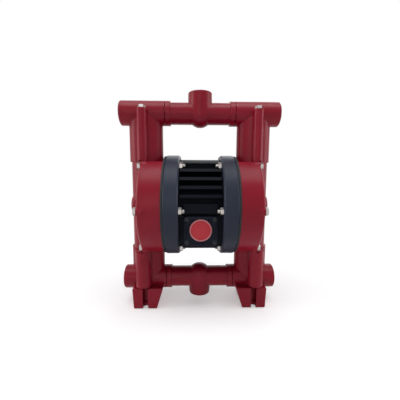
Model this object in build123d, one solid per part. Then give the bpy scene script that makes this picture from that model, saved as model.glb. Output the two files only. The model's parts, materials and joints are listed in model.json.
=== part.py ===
from build123d import *
import os
from math import cos, radians, sin, sqrt

# Air operated double-diaphragm pump with half-inch fluid ports.
#
# X runs along the diaphragm shaft (+X is the pump's right side seen from the front), -Y is the front
# with the air valve cover, and +Z is up. The part stands on Z = 0, with the origin midway between the
# feet. Shapes are laid out from the shaft's axis, and save() lifts them to stand on the floor.
# Left-hand pieces are mirror images of the right-hand ones, which are the ones modelled.

# ---------------------------------------------------------------------------------------------------
# Driving dimensions, in millimetres
# ---------------------------------------------------------------------------------------------------
# Layout, from the shaft's axis
shaft_height = 130.5            # above the floor
outlet_rise = 113.7             # up to the outlet gallery's axis
inlet_drop = 97.3               # down to the inlet gallery's axis
joint_over_bolt = 5.1           # elbows' seats on the fluid covers, above the highest cover bolts

# Stack along the shaft, from the middle outwards
housing_half = 24.7             # centre housing
air_cover_depth = 17.0
diaphragm_rim = 2.0             # thickness of the clamped rim
fluid_cover_depth = 25.8
leg_offset = 23.5               # fluid cover's clamp face to the valve chambers' axis
end_reach = 30.8                # valve chambers' axis to the galleries' end faces

# Covers and their bolts
air_cover_radius = 62.5
fluid_cover_step = 1.0          # how far the fluid cover stands inside the air cover at its clamp
fluid_cover_draft = 0.8         # how much its radius narrows to the outer face
diaphragm_step = 1.0            # how far the diaphragm's edge stands inside the air cover
cover_edge_round = 1.5
drum_edge_round = 3.0
bolt_inset = 6.0                # bolt circle inside the air cover's edge
bolt_lug_radius = 5.3           # bosses under the cover bolts' heads
bolt_lug_depth = 7.0
cover_bolt_count = 6
bolt_radius = 2.5               # M5
bolt_clearance = 0.25
thread_gap = 0.05               # between a screw and its tapped hole
hex_across_flats = 8.0
head_height = 3.5
nut_height = 4.0
bolt_tip = 2.7                  # end of a bolt beyond its nut
wrench_pocket = 5.6             # radius cleared round a bolt head
socket_relief = 7.5             # radius cleared in the elbows for a socket

# Diaphragms, plates and shaft
chamber_radius = 46.0           # pumping and air chambers at the clamped rim
diaphragm_centre = 3.0          # thickness between the plates
diaphragm_wall = 2.0
plate_radius = 25.0
plate_chamfer = 1.5
plate_taper_radius = 12.5       # fluid side plate's raised middle
plate_to_fold = 3.0             # from the plates' edge to the diaphragm's rolling fold
fold_to_chamber = 1.0           # from the fold to the chamber's wall
fold_rise = 5.0                 # fold's crest to the fluid side
air_plate = 4.0
air_plate_chamfer = 0.8
fluid_plate = 4.5
cavity_straight = 6.4           # straight stretch of the pumping chamber's wall, from the clamp
shaft_bolt_radius = 4.0
shaft_bolt_flats = 13.0
shaft_bolt_head = 5.5
shaft_bolt_depth = 16.0         # thread in the shaft
stroke = 6.0                    # each way from the middle
plate_gap = 1.8                 # left at the end of the stroke
shaft_radius = 8.0
shaft_chamfer = 0.6
running_gap = 0.05              # radial, for every sliding fit
bush_wall = 3.0
bush_length = 12.0
seal_length = 3.5
seal_recess = 0.4

# Check valves
ball_radius = 9.0
ball_guide_gap = 0.4
ball_seat_gap = 0.3
ball_height = 3.9               # ball centre above its seat's top face
ball_lift = 5.0
valve_bore = 11.8               # radius of the chamber round a ball
seat_bore = 7.6
seat_radius = 13.0
seat_height = 6.0
seal_section = 1.0              # section radius of the seal ring under a seat
seat_fit = 0.05
passage_radius = 9.0
cage_rib = 2.4
cage_rib_count = 4
cage_stop_reach = 5.0           # how near the stops come to the axis
cage_root = 0.5                 # how far ribs and stops run into the chamber's wall

# Elbows and tees
leg_half_width = 20.8
leg_half_depth = 15.0
sleeve_radius = 15.0
tube_radius = 13.25
tube_bore = 8.5
neck_reach = 24.0               # valve chambers' axis to the joint with the tee
collar_length = 6.0
joint_gap = 0.6                 # groove between elbow and tee
spigot_radius = 11.0
spigot_length = 10.5
o_ring_section = 0.8            # section radius
port_thread_radius = 10.48      # half-inch pipe thread, major radius
outlet_thread_length = 16.0
inlet_thread_length = 14.0
outlet_boss_radius = 15.0
inlet_boss_radius = 15.6
outlet_port_rise = 25.0         # gallery axis to the port's rim
inlet_port_drop = 22.5
boss_crown = 2.0                # centre of the boss's round end, past the gallery's axis
outlet_boss_draft = 0.2          # how much the bosses narrow to the port's rim
inlet_boss_draft = 2.2
port_rim_round = 1.5
port_chamfer = 1.0
plug_length = 12.0
plug_socket_flats = 10.0
plug_socket_depth = 7.0
plug_recess = 1.5

# Columns that carry the manifold bolts, and the feet
outlet_column_radius = 6.0
inlet_column_radius = 9.4
inlet_column_shift = 2.3        # outward of the bolts' axes
inlet_column_foot = 2.4         # bottom of the column above the foot's top
cover_column_radius = 6.0       # tapped bosses on the fluid cover, over the columns
column_shift = 1.5              # outward of the valve chambers' axis
column_reach = 19.5             # in front of and behind the valve chambers' axis
column_rise = 2.0               # top of the column above the outlet gallery's axis
foot_drop = 6.6                 # top of the foot below the inlet gallery's axis
inlet_head_recess = 4.5         # bolt seat inside the column, above the foot's top
thread_depth = 12.0
lug_margin = 2.0                # of the lug beyond the thread
cap_head_radius = 4.25
cap_head_height = 3.5
cap_socket_flats = 4.0
cap_socket_depth = 2.5
column_wall = 6.7               # wall of the fluid cover's column
foot_top_inner = 20.9           # foot, inward and outward of the valve chambers' axis
foot_top_outer = 17.8
foot_base_inner = 12.9
foot_base_outer = 16.5
foot_front = 24.5
channel_radius = 5.8
slot_radius = 3.3
slot_plate = 5.0
sole_relief_half = 9.0          # hollow under the foot, between its two pads
sole_relief_height = 4.0
foot_round = 1.5
hub_radius = 15.0
hub_reach = 17.0                # hub beyond the drum's face
hub_round = 7.0

# Centre housing
core_inset = 10.5               # of the core, inside the cover bolts' circle
shaft_relief = 0.6              # round the shaft between its bushes
fin_over_bolts = 0.5            # fins' envelope beyond the cover bolts' circle
fin_end_gap = 0.7               # from the fins' ends to the air covers
middle_half_length = 19.3       # band and wall between the nuts
nut_pocket = 6.2                # radius cleared in the fins round a nut
nut_pocket_depth = 8.0
fin_thickness = 3.4
fin_first = 16.0                # height of the lowest fin
fin_count = 5                   # the top one is thickened up to the envelope
fin_wall_half_depth = 19.0      # wall that carries the upper fins
band_low = -3.0
band_high = 8.0
band_to_bolt = 2.0              # from the band's front to the front nut
chest_front = 47.0
chest_high = -6.5
chest_low = -40.0
lip_half = 19.8
lip_to_bolt = 0.4               # from the lip to the lowest bolts' shanks
lip_front = 40.0
valve_axis_low = 22.0           # valve spool's axis below the shaft
valve_axis_front = 38.5         # and in front of it
cavity_half = 14.3
cavity_half_height = 9.8
cavity_back = 28.4
port_plate = 3.0
port_plate_half = 9.2
port_plate_half_height = 9.0
port_slot = 2.4
port_slot_height = 8.0
port_pitch = 6.0
slide_half = 5.9
slide_half_height = 6.0
slide_wall = 1.6
slide_cup_depth = 3.0
slide_gap = 0.05
notch_offset = 1.9              # notch's floor behind the spool's axis
spool_radius = 6.95
spool_half = 21.0
spool_seal_at = 18.0
spool_seal_width = 2.2
spool_seal_depth = 1.6

# Air valve cover and badge
gasket = 0.8
panel_thickness = 3.2
panel_half = 19.0
panel_low = -40.0
panel_high = -6.8
panel_round = 4.0
border_width = 1.2
border_inset = 1.8
border_height = 0.7
badge_radius = 12.5
badge_height = 2.2
badge_low = 22.0                # badge's centre below the shaft
badge_fit = 0.15
badge_round = 0.8
collar_wall = 1.35
collar_height = 1.6
panel_screw_radius = 1.5
panel_screw_head = 2.75
panel_screw_sink = 1.8
panel_screw_length = 12.0
panel_screw_inset = 3.5
panel_screw_flats = 2.5

# Pilot pins
pilot_radius = 2.5
pilot_chamfer = 0.5
pilot_offset = 16.0             # behind and above the shaft
pilot_bush_radius = 4.5
pilot_bush_depth = 4.0          # into the centre housing
pilot_length = 18.0
pilot_travel = 3.0
pilot_tip_gap = 0.3             # left between pin and plate at the end of the stroke

# Screws that hold the air covers to the centre housing
web_screw_angle = 50.0          # above and below the horizontal
web_screw_length = 16.0

# Air connections at the back
air_port_reach = 12.0           # air ports left and right of the middle
air_port_low = 24.0             # and below the shaft
air_thread_radius = 6.58        # quarter-inch pipe thread, major radius
air_thread_length = 14.0
air_passage_radius = 2.2
air_passage_reach = 11.5
air_passage_low = 28.0
exhaust_thread_radius = 8.33    # three-eighths pipe thread, major radius
exhaust_thread_length = 12.0
exhaust_passage_radius = 2.5
exhaust_bend_reach = 32.0       # how far back the exhaust passage bends to its port
chamber_passage_radius = 1.5
chamber_passage_back = 25.0     # passages to the air chambers, in front of the shaft
chamber_passage_low = 19.0      # and below it
silencer_flats = 20.0
silencer_hex = 5.0
silencer_radius = 9.0
silencer_length = 7.5
silencer_round = 2.0
silencer_slot = 1.2
silencer_slot_depth = 1.0
silencer_slot_count = 10
silencer_margin = 2.2

# ---------------------------------------------------------------------------------------------------
# Places that follow from them
# ---------------------------------------------------------------------------------------------------
diaphragm_face = housing_half + air_cover_depth
clamp_face = diaphragm_face + diaphragm_rim
drum_face = clamp_face + fluid_cover_depth
leg_x = clamp_face + leg_offset
gallery_end = leg_x + end_reach
joint_x = leg_x - neck_reach
column_x = leg_x + column_shift
bolt_circle = air_cover_radius - bolt_inset
bolt_rise = bolt_circle * sin(radians(60))
valve_joint = bolt_rise + joint_over_bolt
fluid_cover_radius = air_cover_radius - fluid_cover_step
fold_inner = plate_radius + plate_to_fold
fold_outer = chamber_radius - fold_to_chamber
web_screw_circle = chamber_radius - air_plate - cap_head_radius - bolt_clearance
core_radius = bolt_circle - core_inset
fin_envelope = bolt_circle + fin_over_bolts
fin_pitch = (bolt_rise - fin_first) / (fin_count - 1.5)     # the top fin starts half a pitch over the bolts
band_front = bolt_circle - bolt_radius - band_to_bolt
lip_low = -(bolt_rise - bolt_radius - lip_to_bolt)
back_face = air_cover_radius - silencer_hex - silencer_length

diaphragm_middle = diaphragm_face + diaphragm_rim / 2
air_plate_outer = diaphragm_middle - diaphragm_centre / 2
shaft_end = air_plate_outer - air_plate
web_face = shaft_end - stroke - plate_gap
fluid_plate_inner = diaphragm_middle + diaphragm_centre / 2
shaft_bolt_seat = fluid_plate_inner + fluid_plate
cavity_floor = shaft_bolt_seat + shaft_bolt_head + stroke + plate_gap

bush_radius = shaft_radius + bush_wall
shaft_bore = shaft_radius + running_gap
hole_radius = bolt_radius + bolt_clearance
column_outer = valve_bore + column_wall
ball_rest_up = valve_joint + ball_height
ball_rest_down = -valve_joint + ball_height
stop_above_ball = ball_lift + ball_radius + ball_guide_gap
outlet_bolt_seat = outlet_rise + column_rise
foot_high = -(inlet_drop + foot_drop)
inlet_bolt_seat = foot_high + inlet_head_recess
thread_end = valve_joint - thread_depth
chest_middle = -valve_axis_low
panel_front = chest_front + gasket + panel_thickness
bolt_angles = [i * 360 / cover_bolt_count for i in range(cover_bolt_count)]
TOO_FAR = 200.0                 # beyond every piece, for cutting tools


# ---------------------------------------------------------------------------------------------------
# Helpers
# ---------------------------------------------------------------------------------------------------
def along_x(radius, start, end, y=0.0, z=0.0):
    """A cylinder from start to end along X."""
    return Pos((start + end) / 2, y, z) * Rot(0, 90, 0) * Cylinder(radius, abs(end - start))


def along_y(radius, start, end, x=0.0, z=0.0):
    """A cylinder from start to end along Y."""
    return Pos(x, (start + end) / 2, z) * Rot(90, 0, 0) * Cylinder(radius, abs(end - start))


def along_z(radius, start, end, x=0.0, y=0.0):
    """A cylinder from start to end along Z."""
    return Pos(x, y, (start + end) / 2) * Cylinder(radius, abs(end - start))


def block(x, y, z):
    """A box between two limits on each axis."""
    size = [abs(limits[1] - limits[0]) for limits in (x, y, z)]
    middle = [(limits[0] + limits[1]) / 2 for limits in (x, y, z)]
    return Pos(*middle) * Box(*size)


def turned(points):
    """A solid turned about the shaft's axis from (x, radius) points."""
    return revolve(make_face(Polyline(*points, close=True)), Axis.X)


def hexagon(flats, height):
    """A hexagonal prism that stands on Z = 0."""
    return extrude(RegularPolygon(flats / 2, 6, major_radius=False), height)


def on_circle(radius, angle):
    """Y and Z on a circle round the shaft, where angle 0 is the front and 90 the top."""
    return -radius * cos(radians(angle)), radius * sin(radians(angle))


def bolt_places():
    return [on_circle(bolt_circle, angle) for angle in bolt_angles]


def web_screw_places():
    angles = [base + side * web_screw_angle for base in (0, 180) for side in (-1, 1)]
    return [on_circle(web_screw_circle, angle) for angle in angles]


def mirrored(shape):
    return mirror(shape, about=Plane.YZ)


def save(name, *shapes):
    """Lift the shapes from the shaft's axis to the floor, and write them as one node."""
    lifted = [Pos(0, 0, shaft_height) * solid for shape in shapes for solid in shape.solids()]
    export_step(lifted[0] if len(lifted) == 1 else Compound(children=lifted), f"parts/{name}.step")


def save_pair(name, shape):
    save(name + "_right", shape)
    save(name + "_left", mirrored(shape))


# ---------------------------------------------------------------------------------------------------
# Centre housing
# ---------------------------------------------------------------------------------------------------
def fins():
    """Level fins on the upper half, cut back to a drum round the shaft."""
    half_length = housing_half - fin_end_gap
    drum = along_x(fin_envelope, -half_length, half_length)
    for y, z in bolt_places():
        for side in (-1, 1):
            drum -= along_x(nut_pocket, side * (housing_half - nut_pocket_depth), side * housing_half, y, z)
    plates = []
    for i in range(fin_count):
        low = fin_first + i * fin_pitch - fin_thickness / 2
        high = fin_envelope if i == fin_count - 1 else low + fin_thickness
        plates.append(drum & block((-half_length, half_length), (-fin_envelope, fin_envelope), (low, high)))
    return plates


def lip():
    """The lower edge of the valve chest and back block, sloped where it turns under."""
    outline = Polyline((-chest_front, chest_low), (-lip_front, lip_low), (lip_front, lip_low),
                       (back_face, chest_low), close=True)
    return extrude(Plane.YZ * make_face(outline), lip_half, both=True)


def air_passages():
    """Supply, exhaust and the two ways to the air chambers."""
    port_z = -air_port_low
    cuts = along_y(air_thread_radius, back_face - air_thread_length, back_face, -air_port_reach, port_z)
    cuts += along_y(air_passage_radius, -cavity_back, back_face - air_thread_length,
                    -air_passage_reach, -air_passage_low)
    cuts += along_y(exhaust_thread_radius, back_face - exhaust_thread_length, back_face,
                    air_port_reach, port_z)
    cuts += along_y(exhaust_passage_radius, -cavity_back, exhaust_bend_reach, 0, chest_middle)
    cuts += along_x(exhaust_passage_radius, 0, air_port_reach, exhaust_bend_reach, chest_middle)
    cuts += along_y(exhaust_passage_radius, exhaust_bend_reach, back_face, air_port_reach, chest_middle)
    for side in (-1, 1):
        cuts += along_y(chamber_passage_radius, -cavity_back, -chamber_passage_back, side * port_pitch,
                        -chamber_passage_low)
        cuts += chamber_passage(side, port_pitch - chamber_passage_radius, housing_half)
    return cuts


def chamber_passage(side, start, end):
    return along_x(chamber_passage_radius, side * start, side * end, -chamber_passage_back,
                   -chamber_passage_low)


def centre_housing():
    body = along_x(core_radius, -housing_half, housing_half)
    for fin in fins():
        body += fin
    body += block((-middle_half_length, middle_half_length), (-fin_wall_half_depth, fin_wall_half_depth),
                  (0, fin_first + (fin_count - 1) * fin_pitch))
    body += block((-middle_half_length, middle_half_length), (-band_front, band_front),
                  (band_low, band_high))
    body += block((-housing_half, housing_half), (-chest_front, back_face), (chest_low, chest_high))
    body += lip()

    body -= along_x(shaft_radius + shaft_relief, -housing_half, housing_half)
    body -= block((-cavity_half, cavity_half), (-chest_front, -cavity_back),
                  (chest_middle - cavity_half_height, chest_middle + cavity_half_height))
    body -= along_x(spool_radius + running_gap, -housing_half, housing_half, -valve_axis_front, chest_middle)
    body -= air_passages()
    for side in (-1, 1):
        body -= along_x(bush_radius, side * (housing_half - bush_length), side * housing_half)
        bush_end = housing_half - pilot_bush_depth
        pin_end = pilot_tip - pilot_length - pilot_travel - pilot_tip_gap
        body -= along_x(pilot_bush_radius, side * bush_end, side * housing_half, pilot_offset, pilot_offset)
        body -= along_x(pilot_radius + running_gap, side * pin_end, side * housing_half,
                        pilot_offset, pilot_offset)
        for y, z in web_screw_places():
            body -= along_x(bolt_radius + thread_gap, side * (web_face - web_screw_length),
                            side * housing_half, y, z)
    for x, z in panel_screw_places():
        body -= along_y(panel_screw_radius + thread_gap, -chest_front,
                        -(panel_front - panel_screw_sink - panel_screw_length), x, z)
    return body


# ---------------------------------------------------------------------------------------------------
# Air covers, diaphragms, shaft and plates
# ---------------------------------------------------------------------------------------------------
pilot_tip = shaft_end - stroke - pilot_tip_gap


def air_cover():
    round_off = cover_edge_round
    body = turned([
        (housing_half, 0), (housing_half, air_cover_radius - round_off),
        (housing_half + round_off, air_cover_radius), (diaphragm_face - round_off, air_cover_radius),
        (diaphragm_face, air_cover_radius - round_off), (diaphragm_face, chamber_radius),
        (web_face + air_plate, chamber_radius), (web_face, chamber_radius - air_plate), (web_face, 0),
    ])
    body -= along_x(shaft_radius + seal_recess, housing_half, web_face)
    body -= chamber_passage(1, housing_half, web_face)
    body -= along_x(bush_radius, housing_half, housing_half + seal_length)
    body -= along_x(pilot_bush_radius, housing_half, web_face, pilot_offset, pilot_offset)
    for y, z in bolt_places():
        body -= along_x(hole_radius, housing_half, diaphragm_face, y, z)
    for y, z in web_screw_places():
        body -= along_x(hole_radius, housing_half, web_face, y, z)
    return body


def diaphragm():
    """A flat rim and centre joined by one rolling fold that bulges to the fluid side."""
    fold_middle = (fold_inner + fold_outer) / 2
    fold_half_width = (fold_outer - fold_inner) / 2
    fold_radius = (fold_half_width ** 2 + fold_rise ** 2) / (2 * fold_rise)
    rim_radius = air_cover_radius - diaphragm_step
    rim_inner = chamber_radius - diaphragm_wall
    rim = Pos(diaphragm_middle, (rim_inner + rim_radius) / 2) * Rectangle(diaphragm_rim,
                                                                         rim_radius - rim_inner)
    hole = shaft_bolt_radius + thread_gap
    centre = Pos(diaphragm_middle, (hole + fold_inner) / 2) * Rectangle(diaphragm_centre, fold_inner - hole)
    ring = Circle(fold_radius + diaphragm_wall / 2) - Circle(fold_radius - diaphragm_wall / 2)
    fold = Pos(diaphragm_middle + fold_rise - fold_radius, fold_middle) * ring
    fold &= Pos(diaphragm_face + chamber_radius / 2, chamber_radius / 2) * Rectangle(
        chamber_radius, chamber_radius + 2 * diaphragm_wall)
    body = revolve(rim + centre + fold, Axis.X)
    for y, z in bolt_places():
        body -= along_x(hole_radius, diaphragm_face, clamp_face, y, z)
    return body


def air_side_plate():
    body = along_x(plate_radius, shaft_end, air_plate_outer)
    body = chamfer(body.edges().filter_by(GeomType.CIRCLE), air_plate_chamfer)
    return body - along_x(shaft_bolt_radius + thread_gap, shaft_end, air_plate_outer)


def fluid_side_plate():
    body = turned([
        (fluid_plate_inner, shaft_bolt_radius + thread_gap), (fluid_plate_inner, plate_radius - plate_chamfer),
        (fluid_plate_inner + plate_chamfer, plate_radius), (shaft_bolt_seat, plate_taper_radius),
        (shaft_bolt_seat, shaft_bolt_radius + thread_gap),
    ])
    return body


def shaft_bolt():
    shank = along_x(shaft_bolt_radius, shaft_end - shaft_bolt_depth, shaft_bolt_seat)
    head = Pos(shaft_bolt_seat, 0, 0) * Rot(0, 90, 0) * hexagon(shaft_bolt_flats, shaft_bolt_head)
    return shank + head


def diaphragm_shaft():
    body = along_x(shaft_radius, -shaft_end, shaft_end)
    body = chamfer(body.edges().filter_by(GeomType.CIRCLE), shaft_chamfer)
    hole_end = shaft_end - shaft_bolt_depth - 2 * thread_gap
    for side in (-1, 1):
        body -= along_x(shaft_bolt_radius + thread_gap, side * hole_end, side * shaft_end)
    return body


def ring_x(outer, inner, start, end, y=0.0, z=0.0):
    """A plain ring along X."""
    return along_x(outer, start, end, y, z) - along_x(inner, start, end, y, z)


# ---------------------------------------------------------------------------------------------------
# Fluid covers, elbows and tees
# ---------------------------------------------------------------------------------------------------
def leg(low, high):
    """A leg's oval, upright between two levels."""
    return Pos(0, 0, low) * extrude(Pos(leg_x, 0) * Ellipse(leg_half_width, leg_half_depth), high - low)


def cage(seat_top):
    """Ribs that guide a ball over its seat, with arms that stop it at the end of its lift."""
    rib_inner = ball_radius + ball_guide_gap
    stop_low = seat_top + ball_height + stop_above_ball
    outer = valve_bore + cage_root
    across = (-cage_rib / 2, cage_rib / 2)
    rib = block((rib_inner, outer), across, (seat_top + cage_rib, stop_low))
    rib += block((cage_stop_reach, outer), across, (stop_low, stop_low + cage_rib))
    turns = [45 + i * 360 / cage_rib_count for i in range(cage_rib_count)]
    return [Pos(leg_x, 0, 0) * Rot(0, 0, turn) * rib for turn in turns]


def chamber_top(seat_top):
    """Where the wide chamber over a ball ends."""
    return seat_top + ball_height + stop_above_ball + cage_rib


def seat_pocket(top):
    """The recess that a valve seat and its seal ring drop into, below the face at top."""
    return along_z(seat_radius + seat_fit, top - seat_height - 2 * seal_section, top, leg_x)


def fluid_cover():
    drum = turned([(clamp_face, 0), (clamp_face, fluid_cover_radius),
                   (drum_face, fluid_cover_radius - fluid_cover_draft), (drum_face, 0)])
    drum = fillet(drum.edges().group_by(Axis.X)[-1], drum_edge_round)
    hub = along_x(hub_radius, drum_face - hub_round, drum_face + hub_reach)
    hub = fillet(hub.edges().group_by(Axis.X)[-1], hub_round)
    body = drum + hub
    body += along_z(column_outer, -valve_joint, valve_joint, leg_x)
    for y, z in bolt_places():
        body += along_x(bolt_lug_radius, drum_face - bolt_lug_depth, drum_face, y, z)
    for side in (-1, 1):
        y = side * column_reach
        body += along_z(cover_column_radius, thread_end - lug_margin, valve_joint, column_x, y)
        body += along_z(cover_column_radius, -valve_joint, -thread_end + lug_margin, column_x, y)
    cover_limit = (clamp_face, leg_x + TOO_FAR)
    body -= block(cover_limit, (-TOO_FAR, TOO_FAR), (valve_joint, TOO_FAR))
    body -= block(cover_limit, (-TOO_FAR, TOO_FAR), (-TOO_FAR, -valve_joint))

    cone_start = clamp_face + cavity_straight
    body -= turned([
        (clamp_face, 0), (clamp_face, chamber_radius), (cone_start, chamber_radius),
        (cavity_floor, plate_radius + air_plate), (cavity_floor, 0),
    ])
    body -= along_z(passage_radius, -valve_joint, valve_joint, leg_x)
    body -= along_z(valve_bore, -valve_joint, chamber_top(-valve_joint), leg_x)
    body -= seat_pocket(valve_joint)
    for part in cage(-valve_joint):
        body += part
    for y, z in bolt_places():
        body -= along_x(hole_radius, clamp_face, drum_face, y, z)
        body -= along_x(wrench_pocket, drum_face, drum_face + TOO_FAR, y, z)
    for side in (-1, 1):
        y = side * column_reach
        body -= along_z(bolt_radius + thread_gap, thread_end, valve_joint, column_x, y)
        body -= along_z(bolt_radius + thread_gap, -valve_joint, -thread_end, column_x, y)
    return body


def gallery(axis_height):
    """The horizontal sleeve of an elbow."""
    sleeve = along_x(sleeve_radius, joint_x, gallery_end, z=axis_height)
    return chamfer(sleeve.edges().group_by(Axis.X)[-1], port_chamfer)


def gallery_bores(axis_height):
    """The sleeve's pipe thread, its through bore and the socket for the tee."""
    bores = along_x(port_thread_radius, gallery_end - outlet_thread_length, gallery_end, z=axis_height)
    bores += along_x(tube_bore, joint_x, gallery_end, z=axis_height)
    bores += along_x(spigot_radius + seat_fit, joint_x, joint_x + spigot_length, z=axis_height)
    return bores


def socket_cuts():
    """Room for a socket over the cover bolts' heads that face a leg."""
    return [along_x(socket_relief, drum_face, drum_face + TOO_FAR, y, z) for y, z in bolt_places()]


def outlet_elbow():
    body = leg(valve_joint, outlet_rise)
    body += gallery(outlet_rise)
    for side in (-1, 1):
        body += along_z(outlet_column_radius, valve_joint, outlet_bolt_seat, column_x, side * column_reach)
    body -= along_z(valve_bore, valve_joint, chamber_top(valve_joint), leg_x)
    body -= along_z(passage_radius, valve_joint, outlet_rise, leg_x)
    body -= gallery_bores(outlet_rise)
    for part in cage(valve_joint):
        body += part
    for side in (-1, 1):
        body -= along_z(hole_radius, valve_joint, outlet_bolt_seat, column_x, side * column_reach)
    for cut in socket_cuts():
        body -= cut
    return body


def inlet_elbow():
    foot_low = -shaft_height
    foot_outline = Polyline(
        (leg_x - foot_base_inner, foot_low), (leg_x + foot_base_outer, foot_low),
        (leg_x + foot_top_outer, foot_high), (leg_x - foot_top_inner, foot_high), close=True)
    foot = extrude(Plane.XZ * make_face(foot_outline), foot_front, both=True)
    foot = fillet(foot.edges().filter_by(Axis.Z, 20), foot_round)
    body = leg(foot_high, -valve_joint) + gallery(-inlet_drop)
    for side in (-1, 1):
        body += along_z(inlet_column_radius, foot_high + inlet_column_foot, -valve_joint,
                        column_x + inlet_column_shift, side * column_reach)
    body += foot
    body -= seat_pocket(-valve_joint)
    body -= along_z(passage_radius, -inlet_drop, -valve_joint, leg_x)
    body -= gallery_bores(-inlet_drop)
    for side in (-1, 1):
        y = side * column_reach
        body -= along_z(hole_radius, inlet_bolt_seat, -valve_joint, column_x, y)
        body -= along_z(channel_radius, foot_low + slot_plate, inlet_bolt_seat, column_x, y)
        body -= along_z(slot_radius, foot_low, foot_low + slot_plate, column_x, y)
        body -= block((column_x - slot_radius, column_x + slot_radius), (y, side * TOO_FAR),
                      (foot_low, foot_low + slot_plate))
    body -= block((0, TOO_FAR), (-sole_relief_half, sole_relief_half),
                  (foot_low, foot_low + sole_relief_height))
    for cut in socket_cuts():
        body -= cut
    return body


def tee(port_length, boss_radius, boss_draft, thread_length):
    """A tee with its port up, laid out from the gallery's axis."""
    end = joint_x - joint_gap
    boss = Pos(0, 0, (port_length - boss_crown) / 2) * Cone(boss_radius, boss_radius - boss_draft,
                                                           port_length + boss_crown)
    body = fillet(boss.edges().group_by(Axis.Z)[-1], port_rim_round)
    body += along_x(tube_radius, -end, end)
    body += Pos(0, 0, -boss_crown) * Sphere(boss_radius)
    for side in (-1, 1):
        body += along_x(sleeve_radius, side * (end - collar_length), side * end)
        body += along_x(spigot_radius, side * end, side * (joint_x + spigot_length - joint_gap))
    body -= along_x(tube_bore, -TOO_FAR, TOO_FAR)
    body -= along_z(tube_bore, 0, port_length)
    body -= along_z(port_thread_radius, port_length - thread_length, port_length)
    for side in (-1, 1):
        groove = (o_ring_at - o_ring_section, o_ring_at + o_ring_section)
        body -= ring_x(spigot_radius + seat_fit, spigot_radius + seat_fit - 2 * o_ring_section,
                       side * groove[0], side * groove[1])
    return body


o_ring_at = joint_x + spigot_length / 2


def outlet_tee():
    return Pos(0, 0, outlet_rise) * tee(outlet_port_rise, outlet_boss_radius, outlet_boss_draft,
                                      outlet_thread_length)


def inlet_tee():
    return Pos(0, 0, -inlet_drop) * Rot(180, 0, 0) * tee(inlet_port_drop, inlet_boss_radius, inlet_boss_draft,
                                                        inlet_thread_length)


def tee_o_rings():
    ring = Rot(0, 90, 0) * Torus(spigot_radius + seat_fit - o_ring_section, o_ring_section)
    return [Pos(side * o_ring_at, 0, z) * ring for z in (outlet_rise, -inlet_drop) for side in (-1, 1)]


def port_plug():
    """A plug with a hexagon socket for a gallery's end, laid out along X."""
    outer = gallery_end - plug_recess
    body = along_x(port_thread_radius - thread_gap, outer - plug_length, outer)
    socket = Pos(outer - plug_socket_depth, 0, 0) * Rot(0, 90, 0) * hexagon(plug_socket_flats,
                                                                            plug_socket_depth)
    return body - socket


def port_plugs():
    plugs = []
    for z in (outlet_rise, -inlet_drop):
        plug = Pos(0, 0, z) * port_plug()
        plugs += [plug, mirrored(plug)]
    return plugs


# ---------------------------------------------------------------------------------------------------
# Check valves
# ---------------------------------------------------------------------------------------------------
def valve_seat(top):
    body = along_z(seat_radius, top - seat_height, top, leg_x)
    body -= along_z(seat_bore, top - seat_height, top, leg_x)
    body -= Pos(leg_x, 0, top + ball_height) * Sphere(ball_radius + ball_seat_gap)
    return body


def seat_seal(top):
    return Pos(leg_x, 0, top - seat_height - seal_section) * Torus(seat_radius - seal_section, seal_section)


def ball(centre):
    return Pos(leg_x, 0, centre) * Sphere(ball_radius)


# ---------------------------------------------------------------------------------------------------
# Air valve
# ---------------------------------------------------------------------------------------------------
def panel_screw_places():
    half = panel_half - panel_screw_inset
    return [(x, z) for x in (-half, half) for z in (panel_low + panel_screw_inset,
                                                   panel_high - panel_screw_inset)]


def panel_outline(inset):
    """A rounded rectangle on the panel's face, drawn in X and Z."""
    height = panel_high - panel_low
    round_off = panel_round - inset if panel_round > inset + 1 else 1
    return Pos(0, (panel_high + panel_low) / 2) * RectangleRounded(
        2 * (panel_half - inset), height - 2 * inset, round_off)


def panel_slab(outline, back, front):
    """An X and Z outline made solid between two distances in front of the shaft."""
    return Pos(0, -back, 0) * extrude(Plane.XZ * outline, front - back)


def valve_cover_gasket():
    body = panel_slab(panel_outline(0), chest_front, chest_front + gasket)
    body -= block((-cavity_half, cavity_half), (-TOO_FAR, 0),
                  (chest_middle - cavity_half_height, chest_middle + cavity_half_height))
    for x, z in panel_screw_places():
        body -= along_y(panel_screw_radius + bolt_clearance, -chest_front - gasket, -chest_front, x, z)
    return body


def air_valve_cover():
    body = panel_slab(panel_outline(0), chest_front + gasket, panel_front)
    border = panel_outline(border_inset) - panel_outline(border_inset + border_width)
    body += panel_slab(border, panel_front, panel_front + border_height)
    collar_radius = badge_radius + badge_fit + collar_wall
    body += along_y(collar_radius, -panel_front - collar_height, -panel_front, z=-badge_low)
    body -= along_y(badge_radius + badge_fit, -panel_front - collar_height, -panel_front, z=-badge_low)
    for x, z in panel_screw_places():
        body -= along_y(panel_screw_radius + bolt_clearance, -panel_front, -chest_front, x, z)
        body -= along_y(panel_screw_head + bolt_clearance, -TOO_FAR, -panel_front + panel_screw_sink, x, z)
    return body


def badge():
    body = along_y(badge_radius, -panel_front - badge_height, -panel_front, z=-badge_low)
    return fillet(body.edges().group_by(Axis.Y)[0], badge_round)


def cap_screw(radius, length, head_radius, head, socket_flats, socket_depth):
    """A socket screw with its head above Z = 0 and its shank below."""
    body = along_z(radius, -length, 0) + along_z(head_radius, 0, head)
    return body - Pos(0, 0, head - socket_depth) * hexagon(socket_flats, socket_depth)


def panel_screws():
    screw = cap_screw(panel_screw_radius, panel_screw_length, panel_screw_head, panel_screw_sink,
                      panel_screw_flats, panel_screw_sink / 2)
    return [Pos(x, -panel_front + panel_screw_sink, z) * Rot(90, 0, 0) * screw
            for x, z in panel_screw_places()]


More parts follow.
